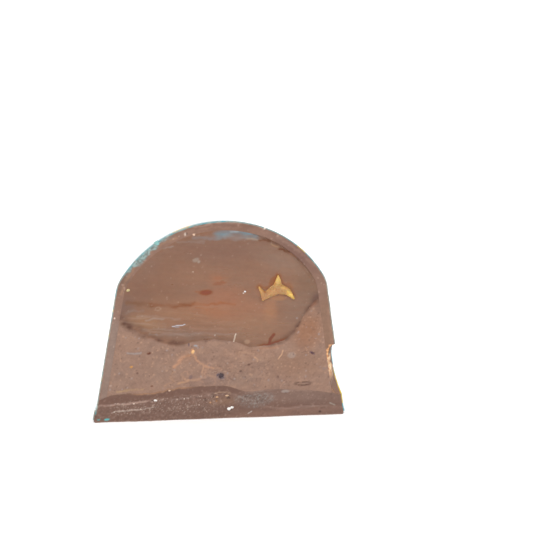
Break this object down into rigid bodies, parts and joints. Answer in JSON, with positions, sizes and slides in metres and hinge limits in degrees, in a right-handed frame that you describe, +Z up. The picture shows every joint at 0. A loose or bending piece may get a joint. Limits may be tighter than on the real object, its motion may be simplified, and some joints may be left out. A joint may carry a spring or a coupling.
{
  "type": "halved chocolate praline",
  "caption": "Half of a domed filled chocolate, sliced upright: coloured shell, soft caramel with a candied splinter, nut praline and a thick chocolate base.",
  "frame": {"origin": "on the ground, under the middle of the whole part's box", "axes": "+Z up; the cut face looks along -Y, so +X runs along it to the right as it is seen from the front"},
  "size_m": [0.029, 0.0132, 0.0234],
  "materials": {
    "coloured_skin": "glossy turquoise with yellow splashes",
    "chocolate": "satin, cut",
    "caramel": "moist, smeared by the knife",
    "praline": "matt and finely grained",
    "candied": "glassy amber"
  },
  "bodies": {
    "root": {"coloured_skin": "coloured_skin", "chocolate_shell": "chocolate", "caramel_filling": "caramel", "praline_filling": "praline", "chocolate_base": "chocolate", "candied_splinter": "candied"}
  },
  "joints": []
}
